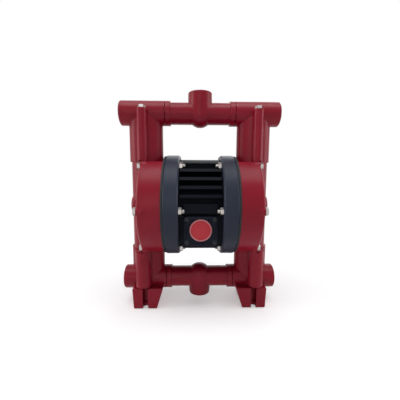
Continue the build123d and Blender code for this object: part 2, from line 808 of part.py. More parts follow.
def valve_port_plate():
    body = block((-port_plate_half, port_plate_half), (-cavity_back - port_plate, -cavity_back),
                 (chest_middle - port_plate_half_height, chest_middle + port_plate_half_height))
    for x in (-port_pitch, 0, port_pitch):
        body -= block((x - port_slot / 2, x + port_slot / 2), (-TOO_FAR, 0),
                      (chest_middle - port_slot_height / 2, chest_middle + port_slot_height / 2))
    return body


slide_front = valve_axis_front - notch_offset - slide_gap
slide_back = cavity_back + port_plate + slide_gap


def valve_slide():
    body = block((-slide_half, slide_half), (-slide_front, -slide_back),
                 (chest_middle - slide_half_height, chest_middle + slide_half_height))
    body -= block((-slide_half + slide_wall, slide_half - slide_wall),
                  (-slide_back - slide_cup_depth, -slide_back),
                  (chest_middle - slide_half_height + slide_wall,
                   chest_middle + slide_half_height - slide_wall))
    return body


def valve_spool():
    body = along_x(spool_radius, -spool_half, spool_half, -valve_axis_front, chest_middle)
    body -= block((-slide_half - slide_gap, slide_half + slide_gap),
                  (-valve_axis_front + notch_offset, 0), (-TOO_FAR, 0))
    for side in (-1, 1):
        start, end = spool_seal_at - spool_seal_width / 2, spool_seal_at + spool_seal_width / 2
        body -= ring_x(spool_radius + running_gap, spool_radius - spool_seal_depth, side * start, side * end,
                       -valve_axis_front, chest_middle)
    return body


def spool_seals():
    start, end = spool_seal_at - spool_seal_width / 2, spool_seal_at + spool_seal_width / 2
    return [ring_x(spool_radius, spool_radius - spool_seal_depth, side * start, side * end,
                   -valve_axis_front, chest_middle) for side in (-1, 1)]


def pilot_pin():
    body = along_x(pilot_radius, pilot_tip - pilot_length, pilot_tip, pilot_offset, pilot_offset)
    return chamfer(body.edges().group_by(Axis.X)[-1], pilot_chamfer)


def pilot_bush():
    return ring_x(pilot_bush_radius, pilot_radius + running_gap, housing_half - pilot_bush_depth,
                  web_face, pilot_offset, pilot_offset)


def web_screws():
    screw = cap_screw(bolt_radius, web_screw_length - thread_gap, cap_head_radius, cap_head_height,
                      cap_socket_flats, cap_socket_depth)
    return [Pos(web_face, y, z) * Rot(0, 90, 0) * screw for y, z in web_screw_places()]


# ---------------------------------------------------------------------------------------------------
# Fasteners and muffler
# ---------------------------------------------------------------------------------------------------
def hex_bolt(length):
    """A hexagon bolt with its head above Z = 0, its shank below and two flats facing Y."""
    return along_z(bolt_radius, -length, 0) + hexagon(hex_across_flats, head_height)


def cover_bolts():
    length = drum_face - housing_half + nut_height + bolt_tip
    bolt = Rot(0, 90, 0) * hex_bolt(length)
    bolts = [Pos(drum_face, y, z) * bolt for y, z in bolt_places()]
    return bolts + [mirrored(item) for item in bolts]


def cover_nuts():
    nut = hexagon(hex_across_flats, nut_height) - along_z(bolt_radius + thread_gap, 0, nut_height)
    nuts = [Pos(housing_half - nut_height, y, z) * Rot(0, 90, 0) * nut for y, z in bolt_places()]
    return nuts + [mirrored(item) for item in nuts]


def outlet_bolts():
    bolt = hex_bolt(outlet_bolt_seat - thread_end - thread_gap)
    return [Pos(x, y, outlet_bolt_seat) * bolt
            for x in (-column_x, column_x) for y in (-column_reach, column_reach)]


def inlet_bolts():
    bolt = hex_bolt(-inlet_bolt_seat - thread_end - thread_gap)
    return [Pos(x, y, inlet_bolt_seat) * Rot(180, 0, 0) * bolt
            for x in (-column_x, column_x) for y in (-column_reach, column_reach)]


def silencer():
    """A short slotted silencer, laid out along Z from its seat on the housing and turned to face back."""
    body = along_z(exhaust_thread_radius - thread_gap, thread_gap - exhaust_thread_length, 0)
    body += hexagon(silencer_flats, silencer_hex)
    can_end = silencer_hex + silencer_length
    can = along_z(silencer_radius, silencer_hex, can_end)
    can = fillet(can.edges().group_by(Axis.Z)[-1], silencer_round)
    for i in range(silencer_slot_count):
        can -= Rot(0, 0, i * 360 / silencer_slot_count) * block(
            (silencer_radius - silencer_slot_depth, silencer_radius + silencer_slot_depth),
            (-silencer_slot / 2, silencer_slot / 2),
            (silencer_hex + silencer_margin, can_end - silencer_margin))
    return Pos(air_port_reach, back_face, -air_port_low) * Rot(-90, 0, 0) * (body + can)


# ---------------------------------------------------------------------------------------------------
# Write every piece
# ---------------------------------------------------------------------------------------------------
os.makedirs("parts", exist_ok=True)

save("centre_housing", centre_housing())
save_pair("air_cover", air_cover())
save_pair("fluid_cover", fluid_cover())
save_pair("outlet_elbow", outlet_elbow())
save_pair("inlet_elbow", inlet_elbow())
save("outlet_tee", outlet_tee())
save("inlet_tee", inlet_tee())
save("tee_o_rings", *tee_o_rings())
save("port_plugs", *port_plugs())

save_pair("diaphragm", diaphragm())
save_pair("air_side_plate", air_side_plate())
save_pair("fluid_side_plate", fluid_side_plate())
save_pair("shaft_bolt", shaft_bolt())
save("diaphragm_shaft", diaphragm_shaft())
bush = ring_x(bush_radius, shaft_bore, housing_half - bush_length, housing_half)
save("shaft_bushes", bush, mirrored(bush))
seal = ring_x(bush_radius, shaft_bore, housing_half, housing_half + seal_length)
save("shaft_seals", seal, mirrored(seal))

save_pair("outlet_seat", valve_seat(valve_joint))
save_pair("inlet_seat", valve_seat(-valve_joint))
save_pair("outlet_ball", ball(ball_rest_up))
save_pair("inlet_ball", ball(ball_rest_down))
seals = [seat_seal(top) for top in (valve_joint, -valve_joint)]
save("seat_seals", *seals, *[mirrored(item) for item in seals])

save("air_valve_cover", air_valve_cover())
save("valve_cover_gasket", valve_cover_gasket())
save("valve_cover_screws", *panel_screws())
save("badge_disc", badge())
save("valve_port_plate", valve_port_plate())
save("valve_slide", valve_slide())
save("valve_spool", valve_spool())
save("spool_seals", *spool_seals())
save_pair("pilot_pin", pilot_pin())
pilot_guide = pilot_bush()
save("pilot_bushes", pilot_guide, mirrored(pilot_guide))
screws = web_screws()
save("air_cover_screws", *screws, *[mirrored(item) for item in screws])

save("cover_bolts", *cover_bolts())
save("cover_nuts", *cover_nuts())
save("outlet_manifold_bolts", *outlet_bolts())
save("inlet_manifold_bolts", *inlet_bolts())
save("exhaust_silencer", silencer())
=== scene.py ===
import json
import math

import bmesh
import bpy
from mathutils import Matrix, Vector


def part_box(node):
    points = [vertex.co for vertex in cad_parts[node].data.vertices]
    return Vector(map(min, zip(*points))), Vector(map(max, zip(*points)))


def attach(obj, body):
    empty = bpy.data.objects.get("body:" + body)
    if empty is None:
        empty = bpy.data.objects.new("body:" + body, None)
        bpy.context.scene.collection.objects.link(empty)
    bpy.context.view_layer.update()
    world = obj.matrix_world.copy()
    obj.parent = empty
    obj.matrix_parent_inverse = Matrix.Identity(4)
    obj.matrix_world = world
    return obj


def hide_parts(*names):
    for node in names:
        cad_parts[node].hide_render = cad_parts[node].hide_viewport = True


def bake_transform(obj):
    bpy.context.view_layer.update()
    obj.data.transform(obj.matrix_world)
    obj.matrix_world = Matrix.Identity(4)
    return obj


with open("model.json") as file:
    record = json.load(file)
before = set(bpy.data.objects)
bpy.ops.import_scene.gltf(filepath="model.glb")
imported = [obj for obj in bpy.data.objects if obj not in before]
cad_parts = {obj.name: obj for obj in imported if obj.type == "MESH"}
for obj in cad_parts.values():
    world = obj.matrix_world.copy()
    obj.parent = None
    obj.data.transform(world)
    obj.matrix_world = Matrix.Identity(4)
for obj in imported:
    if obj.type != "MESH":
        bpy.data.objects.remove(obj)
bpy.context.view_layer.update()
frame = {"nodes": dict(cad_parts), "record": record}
nodes = frame["nodes"]

MM = 0.001
TURN = 2 * math.pi


# ---------------------------------------------------------------------------------------------------
# Shader helpers
# ---------------------------------------------------------------------------------------------------
def srgb(r, g, b):
    """An sRGB colour from 0 to 255 as linear values."""
    def linear(c):
        c /= 255
        return c / 12.92 if c <= 0.04045 else ((c + 0.055) / 1.055) ** 2.4
    return (linear(r), linear(g), linear(b), 1.0)


def grey(level):
    return (level, level, level, 1.0)


def added(tree, kind, values=None):
    """A new shader node with its own values set by name."""
    node = tree.nodes.new(kind)
    for socket, value in (values or {}).items():
        node.inputs[socket].default_value = value
    return node


def new_material(name):
    mat = bpy.data.materials.new(name)
    mat.use_nodes = True
    return mat


def noise(tree, place, scale, detail, roughness):
    """A noise texture over the object's own coordinates, with scale in cells per metre."""
    texture = added(tree, "ShaderNodeTexNoise", {"Scale": scale, "Detail": detail, "Roughness": roughness})
    tree.links.new(place, texture.inputs["Vector"])
    return texture.outputs["Fac"]


# ---------------------------------------------------------------------------------------------------
# Materials
# ---------------------------------------------------------------------------------------------------
DRIFT_DETAIL, DRIFT_ROUGHNESS = 6, 0.6
GRAIN_DETAIL, GRAIN_ROUGHNESS = 4, 0.65
TONES_BETWEEN = (0.32, 0.72)    # drift values over which the second tone takes over
GLOSS_BETWEEN = (0.3, 0.7)      # drift values over which the roughness goes from low to high
RELIEF_STRENGTH = 0.6
EDGE_SAMPLES = 6


def surface(name, base, second, rough, metallic=0.0, grain=900.0, bump=0.02, spread=25.0, specular=0.5,
            stretch=(1, 1, 1), edge=0.0):
    """A moulded or machined surface: two tones that drift into each other, uneven roughness and a fine
    grain. rough is the lowest and highest roughness, spread and grain are the noise scales of the drift
    and the grain, bump is the grain's depth and edge the rounding of edges, both in millimetres."""
    mat = new_material(name)
    tree = mat.node_tree
    link = tree.links.new
    bsdf = tree.nodes["Principled BSDF"]
    bsdf.inputs["Metallic"].default_value = metallic
    bsdf.inputs["Specular IOR Level"].default_value = specular
    place = added(tree, "ShaderNodeTexCoord")
    scale = added(tree, "ShaderNodeMapping", {"Scale": stretch})
    link(place.outputs["Object"], scale.inputs["Vector"])
    drift = noise(tree, scale.outputs["Vector"], spread, DRIFT_DETAIL, DRIFT_ROUGHNESS)

    tone = added(tree, "ShaderNodeValToRGB")
    for stop, position, colour in zip(tone.color_ramp.elements, TONES_BETWEEN, (base, second)):
        stop.position = position
        stop.color = colour
    link(drift, tone.inputs["Fac"])
    link(tone.outputs["Color"], bsdf.inputs["Base Color"])

    gloss = added(tree, "ShaderNodeMapRange", {"From Min": GLOSS_BETWEEN[0], "From Max": GLOSS_BETWEEN[1],
                                               "To Min": rough[0], "To Max": rough[1]})
    link(drift, gloss.inputs["Value"])
    link(gloss.outputs["Result"], bsdf.inputs["Roughness"])

    relief = added(tree, "ShaderNodeBump", {"Strength": RELIEF_STRENGTH, "Distance": bump * MM})
    link(noise(tree, scale.outputs["Vector"], grain, GRAIN_DETAIL, GRAIN_ROUGHNESS), relief.inputs["Height"])
    if edge:
        rounding = added(tree, "ShaderNodeBevel", {"Radius": edge * MM})
        rounding.samples = EDGE_SAMPLES
        link(rounding.outputs["Normal"], relief.inputs["Normal"])
    link(relief.outputs["Normal"], bsdf.inputs["Normal"])
    return mat


# Mouldings
RED = surface("moulded_wine_red", srgb(150, 21, 44), srgb(134, 15, 35), rough=(0.26, 0.4),
              grain=700, bump=0.05, spread=18, specular=0.2, edge=0.9)
RING = surface("moulded_slate_black", srgb(45, 51, 67), srgb(35, 41, 55), rough=(0.34, 0.48),
               grain=900, bump=0.05, spread=20, specular=0.2, edge=0.8)
HOUSING = surface("moulded_black", srgb(14, 18, 28), srgb(8, 11, 19), rough=(0.5, 0.62),
                  grain=900, bump=0.05, spread=22, specular=0.09, edge=0.8)
PANEL = surface("valve_cover_black", srgb(13, 19, 36), srgb(8, 13, 27), rough=(0.3, 0.44),
                grain=1200, bump=0.04, spread=40, specular=0.14, edge=1.4)
BADGE = surface("badge_red", srgb(202, 52, 64), srgb(190, 44, 56), rough=(0.28, 0.4),
                grain=1400, bump=0.015, spread=50, specular=0.3)
# The rim's pale rose colour is a painted highlight along the badge's raised edge, lighter than the red face.
BADGE_RIM_HIGHLIGHT = surface("badge_rim_painted_highlight", srgb(214, 138, 142), srgb(200, 118, 124), rough=(0.3, 0.42),
                    grain=1400, bump=0.01, spread=60, specular=0.3)
ACETAL = surface("acetal", (0.78, 0.77, 0.72, 1), (0.72, 0.71, 0.66, 1), rough=(0.32, 0.45),
                 grain=900, bump=0.02, spread=40)
BALL = surface("ptfe", (0.86, 0.86, 0.83, 1), (0.8, 0.8, 0.77, 1), rough=(0.38, 0.5),
               grain=900, bump=0.02, spread=40)
RUBBER = surface("black_rubber", (0.018, 0.018, 0.019, 1), (0.028, 0.028, 0.029, 1), rough=(0.55, 0.75),
                 grain=800, bump=0.04, spread=60, specular=0.35)

# Metals
STEEL = surface("stainless_fastener", (0.52, 0.49, 0.47, 1), (0.40, 0.38, 0.37, 1), rough=(0.22, 0.36),
                metallic=1.0, grain=1600, bump=0.01, spread=160, edge=0.1)
SHAFT = surface("ground_stainless", (0.66, 0.65, 0.63, 1), (0.56, 0.55, 0.54, 1), rough=(0.12, 0.24),
                metallic=1.0, grain=1500, bump=0.004, spread=60, stretch=(8, 1, 1))
ALUMINIUM = surface("cast_aluminium", (0.66, 0.67, 0.68, 1), (0.56, 0.57, 0.58, 1), rough=(0.32, 0.5),
                    metallic=1.0, grain=900, bump=0.03, spread=60, edge=0.4)
BRASS = surface("sintered_bronze", (0.55, 0.38, 0.16, 1), (0.40, 0.27, 0.11, 1), rough=(0.34, 0.5),
                metallic=1.0, grain=1100, bump=0.05, spread=90, edge=0.2)
SCREW_BLACK = surface("blackened_steel", (0.012, 0.014, 0.02, 1), (0.02, 0.022, 0.03, 1),
                      rough=(0.3, 0.45), metallic=0.6, grain=1500, bump=0.01, spread=150)

BY_SLOT = {"red_body": RED, "black_housing": HOUSING, "badge_red": BADGE, "rubber": RUBBER,
           "stainless": STEEL, "aluminium": ALUMINIUM, "black_screws": SCREW_BLACK, "acetal": ACETAL,
           "ball_white": BALL, "brass": BRASS}
BY_NODE = {"air_cover_left": RING, "air_cover_right": RING, "air_valve_cover": PANEL,
           "diaphragm_shaft": SHAFT, "pilot_pin_left": SHAFT, "pilot_pin_right": SHAFT}
for part in frame["record"]["subparts"]:
    finish = BY_NODE.get(part["node"], BY_SLOT[part["material_slot"]])
    for slot in nodes[part["node"]].material_slots:
        slot.material = finish


# ---------------------------------------------------------------------------------------------------
# Mesh helpers. Lengths here are millimetres, in the part's frame. A shape is its points and faces.
# ---------------------------------------------------------------------------------------------------
def ring(radius_at, height_at, steps):
    """One closed ring of points round Z. radius_at and height_at are numbers or functions of angle."""
    points = []
    for i in range(steps):
        angle = TURN * i / steps
        radius = radius_at(angle) if callable(radius_at) else radius_at
        height = height_at(angle) if callable(height_at) else height_at
        points.append(Vector((radius * math.cos(angle), radius * math.sin(angle), height)))
    return points


def skin(rings, close_start=False, close_end=False):
    """The shape of a skin over rings of equal counts, which faces out where the rings go up."""
    steps = len(rings[0])
    points = [point for loop in rings for point in loop]
    faces = []
    for row in range(len(rings) - 1):
        for i in range(steps):
            j = (i + 1) % steps
            faces.append((row * steps + i, row * steps + j, (row + 1) * steps + j, (row + 1) * steps + i))
    if close_start:
        faces.append(tuple(reversed(range(steps))))
    if close_end:
        faces.append(tuple(range((len(rings) - 1) * steps, len(rings) * steps)))
    return points, faces


def turned(profile, steps, close_start=False, close_end=False):
    """The shape that a profile of radii and heights sweeps round Z."""
    return skin([ring(radius, height, steps) for radius, height in profile], close_start, close_end)


def combined(*shapes):
    """Several shapes as one."""
    points, faces = [], []
    for more_points, more_faces in shapes:
        start = len(points)
        points += more_points
        faces += [tuple(start + i for i in face) for face in more_faces]
    return points, faces


def placed(shape, matrix):
    """A shape turned and moved to its place."""
    points, faces = shape
    return [matrix @ point for point in points], faces


def smooth_object(name, mesh, sharp):
    """An object for a mesh, smooth but for edges over sharp degrees."""
    mesh.shade_smooth()
    mesh.set_sharp_from_angle(angle=math.radians(sharp))
    piece = bpy.data.objects.new(name, mesh)
    bpy.context.scene.collection.objects.link(piece)
    return piece


def add_piece(name, shape, material, body, sharp=38.0):
    """A piece of the object from a shape."""
    points, faces = shape
    mesh = bpy.data.meshes.new(name)
    mesh.from_pydata([point * MM for point in points], [], faces)
    mesh.materials.append(material)
    piece = smooth_object(name, mesh, sharp)
    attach(piece, body)
    return piece


def hexagon(flats):
    """A hexagon's radius by angle, with a corner at angle 0."""
    sixth = TURN / 6
    return lambda angle: flats / 2 / math.cos(angle % sixth - sixth / 2)


def thread(radius, depth, pitch):
    """A thread's radius by angle at a height: crests at radius, roots depth below."""
    return lambda height: lambda angle: radius - depth * abs((height / pitch - angle / TURN) % 1 * 2 - 1)


def low_high(node):
    """A node's lowest and highest corners in millimetres."""
    low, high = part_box(node)
    return Vector(low) / MM, Vector(high) / MM


# ---------------------------------------------------------------------------------------------------
# Hexagon bolts and nuts
# ---------------------------------------------------------------------------------------------------
FLATS = 8.0
HEAD = 3.5
NUT = 4.0
BOLT_RADIUS = 2.5
THREAD_PITCH = 0.8
THREAD_DEPTH = 0.45
THREAD_RINGS = 5                # for each turn of the thread
WASHER_FACE = 0.3               # height of the washer face under a head
WASHER_SHARE = 0.95             # of the distance from the middle to the flats
CHAMFER_RADIUS = 3.65
CHAMFER_SLOPE = math.tan(math.radians(30))
HEAD_DISH = 0.12                # sunk top of a head
HEAD_DISH_SHARE = 0.8           # of the chamfer's radius
NUT_GAP = 0.02                  # from a bolt to its nut's bore
NUT_SINK = 0.4                  # depth of a bore's countersink
NUT_SINK_WIDTH = 0.35
HEX_STEPS = 48
ROD_STEPS = 24


def chamfered(side_height, inward):
    """The edge where a hexagon's sides meet the cone that chamfers it."""
    side = hexagon(FLATS)
    return lambda angle: side_height - inward * (side(angle) - CHAMFER_RADIUS) * CHAMFER_SLOPE


def hex_head():
    """A bolt head on Z = 0 with a washer face, hexagon sides and a chamfered, slightly dished top."""
    side = hexagon(FLATS)
    face = FLATS / 2 * WASHER_SHARE
    return skin([ring(face, 0, HEX_STEPS), ring(face, WASHER_FACE, HEX_STEPS),
                 ring(side, WASHER_FACE, HEX_STEPS), ring(side, chamfered(HEAD, 1), HEX_STEPS),
                 ring(CHAMFER_RADIUS, HEAD, HEX_STEPS),
                 ring(CHAMFER_RADIUS * HEAD_DISH_SHARE, HEAD - HEAD_DISH, HEX_STEPS)],
                close_start=True, close_end=True)


def hex_nut():
    """A nut on Z = 0 with both ends chamfered and its bore countersunk."""
    side = hexagon(FLATS)
    bore = BOLT_RADIUS + NUT_GAP
    mouth = bore + NUT_SINK_WIDTH
    return skin([ring(bore, NUT_SINK, HEX_STEPS), ring(mouth, 0, HEX_STEPS),
                 ring(CHAMFER_RADIUS, 0, HEX_STEPS), ring(side, chamfered(0, -1), HEX_STEPS),
                 ring(side, chamfered(NUT, 1), HEX_STEPS), ring(CHAMFER_RADIUS, NUT, HEX_STEPS),
                 ring(mouth, NUT, HEX_STEPS), ring(bore, NUT - NUT_SINK, HEX_STEPS),
                 ring(bore, NUT_SINK, HEX_STEPS)])


def rod(length, threaded):
    """A bolt's shank from Z = 0 down, threaded over its last part and flat at its end."""
    wave = thread(BOLT_RADIUS, THREAD_DEPTH, THREAD_PITCH)
    loops = [ring(BOLT_RADIUS, 0, ROD_STEPS), ring(BOLT_RADIUS, threaded - length, ROD_STEPS)]
    steps = round(threaded / THREAD_PITCH * THREAD_RINGS)
    for i in range(1, steps):
        height = (threaded - length) - threaded * i / steps
        loops.append(ring(wave(height), height, ROD_STEPS))
    loops.append(ring(BOLT_RADIUS - THREAD_DEPTH, -length, ROD_STEPS))
    return skin(loops[::-1], close_start=True, close_end=True)


# ---------------------------------------------------------------------------------------------------
# Bolts and nuts that clamp the covers
# ---------------------------------------------------------------------------------------------------
COVER_BOLTS = 6
COVER_BOLT_PAST_NUT = 2.7
COVER_BOLT_THREAD = 16.0
HEAD_TURN_RANGE = 0.12          # radians over which the heads' turns differ
HEAD_TURN_STEP = 0.37           # share of that range from one head to the next
HEAD_TURN_SIDE = 0.11           # share of it between the two sides

bolts_low, bolts_high = low_high("cover_bolts")
shaft_height = (bolts_low.z + bolts_high.z) / 2
bolt_circle = bolts_high.y - FLATS / 2
drum_face = bolts_high.x - HEAD
nut_face = low_high("cover_nuts")[1].x
bolt = combined(hex_head(), rod(drum_face - nut_face + NUT + COVER_BOLT_PAST_NUT, COVER_BOLT_THREAD))
nut = hex_nut()
for side, label in ((1, "right"), (-1, "left")):
    facing = Matrix.Rotation(side * TURN / 4, 4, "Y")
    for i in range(COVER_BOLTS):
        angle = TURN * i / COVER_BOLTS
        place = Vector((0, -bolt_circle * math.cos(angle), shaft_height + bolt_circle * math.sin(angle)))
        share = (i * HEAD_TURN_STEP + side * HEAD_TURN_SIDE) % 1
        head_turn = Matrix.Rotation((share - 0.5) * HEAD_TURN_RANGE, 4, "Z")
        at = Matrix.Translation(place + Vector((side * drum_face, 0, 0)))
        piece = add_piece(f"cover_bolt_{label}_{i + 1}", placed(bolt, at @ facing @ head_turn), STEEL,
                          "body")
        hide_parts("cover_bolts")
        at = Matrix.Translation(place + Vector((side * (nut_face - NUT), 0, 0)))
        piece = add_piece(f"cover_nut_{label}_{i + 1}", placed(nut, at @ facing), STEEL, "body")
        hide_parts("cover_nuts")


# ---------------------------------------------------------------------------------------------------
# Bolts down through the outlet elbows' columns, and up through the inlet elbows' columns
# ---------------------------------------------------------------------------------------------------
MANIFOLD_BOLT_THREAD = 12.0

for node, upright in (("outlet_manifold_bolts", True), ("inlet_manifold_bolts", False)):
    low, high = low_high(node)
    seat = high.z - HEAD if upright else low.z + HEAD
    shape = combined(hex_head(), rod(high.z - low.z - HEAD, MANIFOLD_BOLT_THREAD))
    across = high.x - hexagon(FLATS)(0)
    reach = high.y - FLATS / 2
    facing = Matrix.Identity(4) if upright else Matrix.Rotation(TURN / 2, 4, "X")
    for x, side in ((across, "right"), (-across, "left")):
        for y, end in ((-reach, "front"), (reach, "back")):
            at = Matrix.Translation(Vector((x, y, seat)))
            piece = add_piece(f"{node[:-1]}_{side}_{end}", placed(shape, at @ facing), STEEL, "body")
            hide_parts(node)


# ---------------------------------------------------------------------------------------------------
# Threads in the ports
# ---------------------------------------------------------------------------------------------------
INCH = 25.4
HALF_INCH = {"radius": 10.45, "depth": 1.15, "pitch": INCH / 14}
QUARTER_INCH = {"radius": 6.55, "depth": 0.95, "pitch": INCH / 18}
LINER_WALL = 0.02               # from a thread's roots to the wall of its bore
LINER_STEPS = 72
LINER_RINGS = 6                 # for each turn of the thread
LINER_SHARP = 60.0
MOUNT = {mount["name"]: mount for mount in frame["record"]["mounts"]}


def port_thread(radius, depth, pitch, length):
    """The threaded wall of a port that opens at Z = 0 and runs down. The roots are at radius and the
    crests depth inside it, and the thread rises from nothing over its first turn."""
    wave = thread(radius, depth, pitch)
    steps = round(length / pitch * LINER_RINGS)
    loops = [ring(radius + LINER_WALL, 0, LINER_STEPS), ring(radius, 0, LINER_STEPS)]
    for i in range(1, steps):
        height = -length * i / steps
        fade = min(1.0, -height / pitch)
        loops.append(ring(lambda angle: radius - (radius - wave(height)(angle)) * fade, height, LINER_STEPS))
    loops.append(ring(radius - depth, -length, LINER_STEPS))
    loops.append(ring(radius + LINER_WALL, -length, LINER_STEPS))
    loops.append(loops[0])
    return skin(loops)


def thread_at_mount(name, mount, size, material):
    """Lines a threaded mount, whose place is its middle, up to its mouth."""
    axis = Vector(MOUNT[mount]["axis"])
    length = MOUNT[mount]["dims"]["length_mm"]
    mouth = Vector(MOUNT[mount]["pos_m"]) / MM + axis * length / 2
    facing = Vector((0, 0, 1)).rotation_difference(axis).to_matrix().to_4x4()
    shape = placed(port_thread(length=length, **size), Matrix.Translation(mouth) @ facing)
    add_piece(name, shape, material, "body", sharp=LINER_SHARP)


thread_at_mount("outlet_port_thread", "outlet_port", HALF_INCH, RED)
thread_at_mount("inlet_port_thread", "inlet_port", HALF_INCH, RED)
thread_at_mount("air_inlet_thread", "air_inlet", QUARTER_INCH, HOUSING)


# ---------------------------------------------------------------------------------------------------
# Plugs in the ends of the tubes, and the valve cover's screws
# ---------------------------------------------------------------------------------------------------
SOCKET_LEAD = 0.25              # bevel at a socket's mouth
SOCKET_POINT_SHARE = 0.2        # radius of a socket's flat bottom, as a share of its flats
SOCKET_POINT = 0.12             # depth of its cone, as a share of its flats
RIM_SHARE = 0.3                 # of a rim's bevel, where it turns from side to top


def socketed(radius, top, flats, depth, bevel, foot):
    """A round body from foot up to top with a bevelled rim and a hexagon socket."""
    hollow = hexagon(flats)
    return skin([ring(radius, foot, HEX_STEPS), ring(radius, top - bevel, HEX_STEPS),
                 ring(radius - bevel * RIM_SHARE, top - bevel * RIM_SHARE, HEX_STEPS),
                 ring(radius - bevel, top, HEX_STEPS),
                 ring(lambda angle: hollow(angle) + SOCKET_LEAD, top, HEX_STEPS),
                 ring(hollow, top - SOCKET_LEAD, HEX_STEPS), ring(hollow, top - depth, HEX_STEPS),
                 ring(flats * SOCKET_POINT_SHARE, top - depth - flats * SOCKET_POINT, HEX_STEPS)],
                close_start=True, close_end=True)


PLUG_RADIUS = 10.4
PLUG_LENGTH = 12.0
PLUG_FLATS = 10.0
PLUG_DEPTH = 7.0
PLUG_BEVEL = 0.9
FRAME_PLUG_RADIUS = 10.43       # of the frame's plugs, whose middles are the tubes' middles

plugs_low, plugs_high = low_high("port_plugs")
plug = socketed(PLUG_RADIUS, 0, PLUG_FLATS, PLUG_DEPTH, PLUG_BEVEL, -PLUG_LENGTH)
outlet_z = plugs_high.z - FRAME_PLUG_RADIUS
inlet_z = plugs_low.z + FRAME_PLUG_RADIUS
for z, level in ((outlet_z, "outlet"), (inlet_z, "inlet")):
    for x, side in ((plugs_high.x, "right"), (plugs_low.x, "left")):
        facing = Matrix.Rotation(math.copysign(TURN / 4, x), 4, "Y")
        at = Matrix.Translation((x, 0, z))
        piece = add_piece(f"{level}_plug_{side}", placed(plug, at @ facing), RED, "body")
        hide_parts("port_plugs")

SCREW_HEAD = 2.75
SCREW_SUNK = 1.8                # how far a head is sunk in the cover
SCREW_LENGTH = 13.8             # with its head
SCREW_SHANK = 1.5
SCREW_FLATS = 2.5
SCREW_SOCKET_DEPTH = 1.0
SCREW_BEVEL = 0.35

screws_low, screws_high = low_high("valve_cover_screws")
screw_head = socketed(SCREW_HEAD, 0, SCREW_FLATS, SCREW_SOCKET_DEPTH, SCREW_BEVEL, -SCREW_SUNK)
screw_shank = turned([(SCREW_SHANK, -SCREW_LENGTH), (SCREW_SHANK, -SCREW_SUNK)], ROD_STEPS,
                     close_start=True, close_end=True)
screw = combined(screw_head, screw_shank)
for x, side in ((screws_low.x + SCREW_HEAD, "left"), (screws_high.x - SCREW_HEAD, "right")):
    for z, level in ((screws_low.z + SCREW_HEAD, "low"), (screws_high.z - SCREW_HEAD, "high")):
        at = Matrix.Translation((x, screws_low.y, z)) @ Matrix.Rotation(TURN / 4, 4, "X")
        piece = add_piece(f"valve_cover_screw_{side}_{level}", placed(screw, at), SCREW_BLACK, "body")
        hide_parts("valve_cover_screws")


# ---------------------------------------------------------------------------------------------------
# Badge: a plain red disc, slightly crowned, with a raised rim whose paler colour is a painted highlight
# ---------------------------------------------------------------------------------------------------
BADGE_STEPS = 96
BADGE_SHARP = 50.0
RIM_WIDTH = 1.5
RIM_ROUND = 0.7                 # outer rounding of the rim
RIM_ROUND_KNEE = 0.2            # where the rounding turns, from the rim's side and from its top
RIM_BEVEL_WIDTH = 0.4           # inner bevel of the rim
RIM_BEVEL_DEPTH = 0.3
FACE_SUNK = 0.75                # edge of the face below the rim
CROWN = 0.35                    # middle of the face above its edge
CROWN_STEPS = 8
CROWN_FLAT = 0.4                # radius of the flat in the middle
FACE_GAP = 0.02                 # between face and rim
FACE_FOOT = 0.1                 # where the face's side starts

badge_low, badge_high = low_high("badge_disc")
badge_radius = (badge_high.x - badge_low.x) / 2
badge_depth = badge_high.y - badge_low.y
badge_at = (Matrix.Translation((0, badge_high.y, (badge_low.z + badge_high.z) / 2))
            @ Matrix.Rotation(TURN / 4, 4, "X"))
inner = badge_radius - RIM_WIDTH
rim = turned([(inner, 0), (badge_radius, 0), (badge_radius, badge_depth - RIM_ROUND),
              (badge_radius - RIM_ROUND_KNEE, badge_depth - RIM_ROUND_KNEE),
              (badge_radius - RIM_ROUND, badge_depth), (inner + RIM_BEVEL_WIDTH, badge_depth),
              (inner, badge_depth - RIM_BEVEL_DEPTH), (inner, 0)], BADGE_STEPS)
face_edge = badge_depth - FACE_SUNK
crown = [(inner * math.sqrt(1 - i / CROWN_STEPS) - FACE_GAP, face_edge + CROWN * i / CROWN_STEPS)
         for i in range(CROWN_STEPS)]
face = turned([(inner - FACE_GAP, FACE_FOOT)] + crown + [(CROWN_FLAT, face_edge + CROWN)], BADGE_STEPS,
              close_start=True, close_end=True)
for name, shape, material in (("badge_rim", rim, BADGE_RIM_HIGHLIGHT), ("badge_face", face, BADGE)):
    piece = add_piece(name, placed(shape, badge_at), material, "body", sharp=BADGE_SHARP)
    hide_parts("badge_disc")


# ---------------------------------------------------------------------------------------------------
# Diaphragms. Each is cut in sectors round the shaft, and each sector is closed where it is cut.
# ---------------------------------------------------------------------------------------------------
SECTORS = 12
SECTOR = TURN / SECTORS
WELD = 0.001                    # millimetres within which points are one
SECTOR_SHARP = 30.0

shaft_low, shaft_high = low_high("diaphragm_shaft")
shaft_axis = Vector((0, 0, (shaft_low.z + shaft_high.z) / 2)) * MM


def outward(angle):
    """The direction away from the shaft at an angle round it."""
    return Vector((0, math.cos(angle), math.sin(angle)))


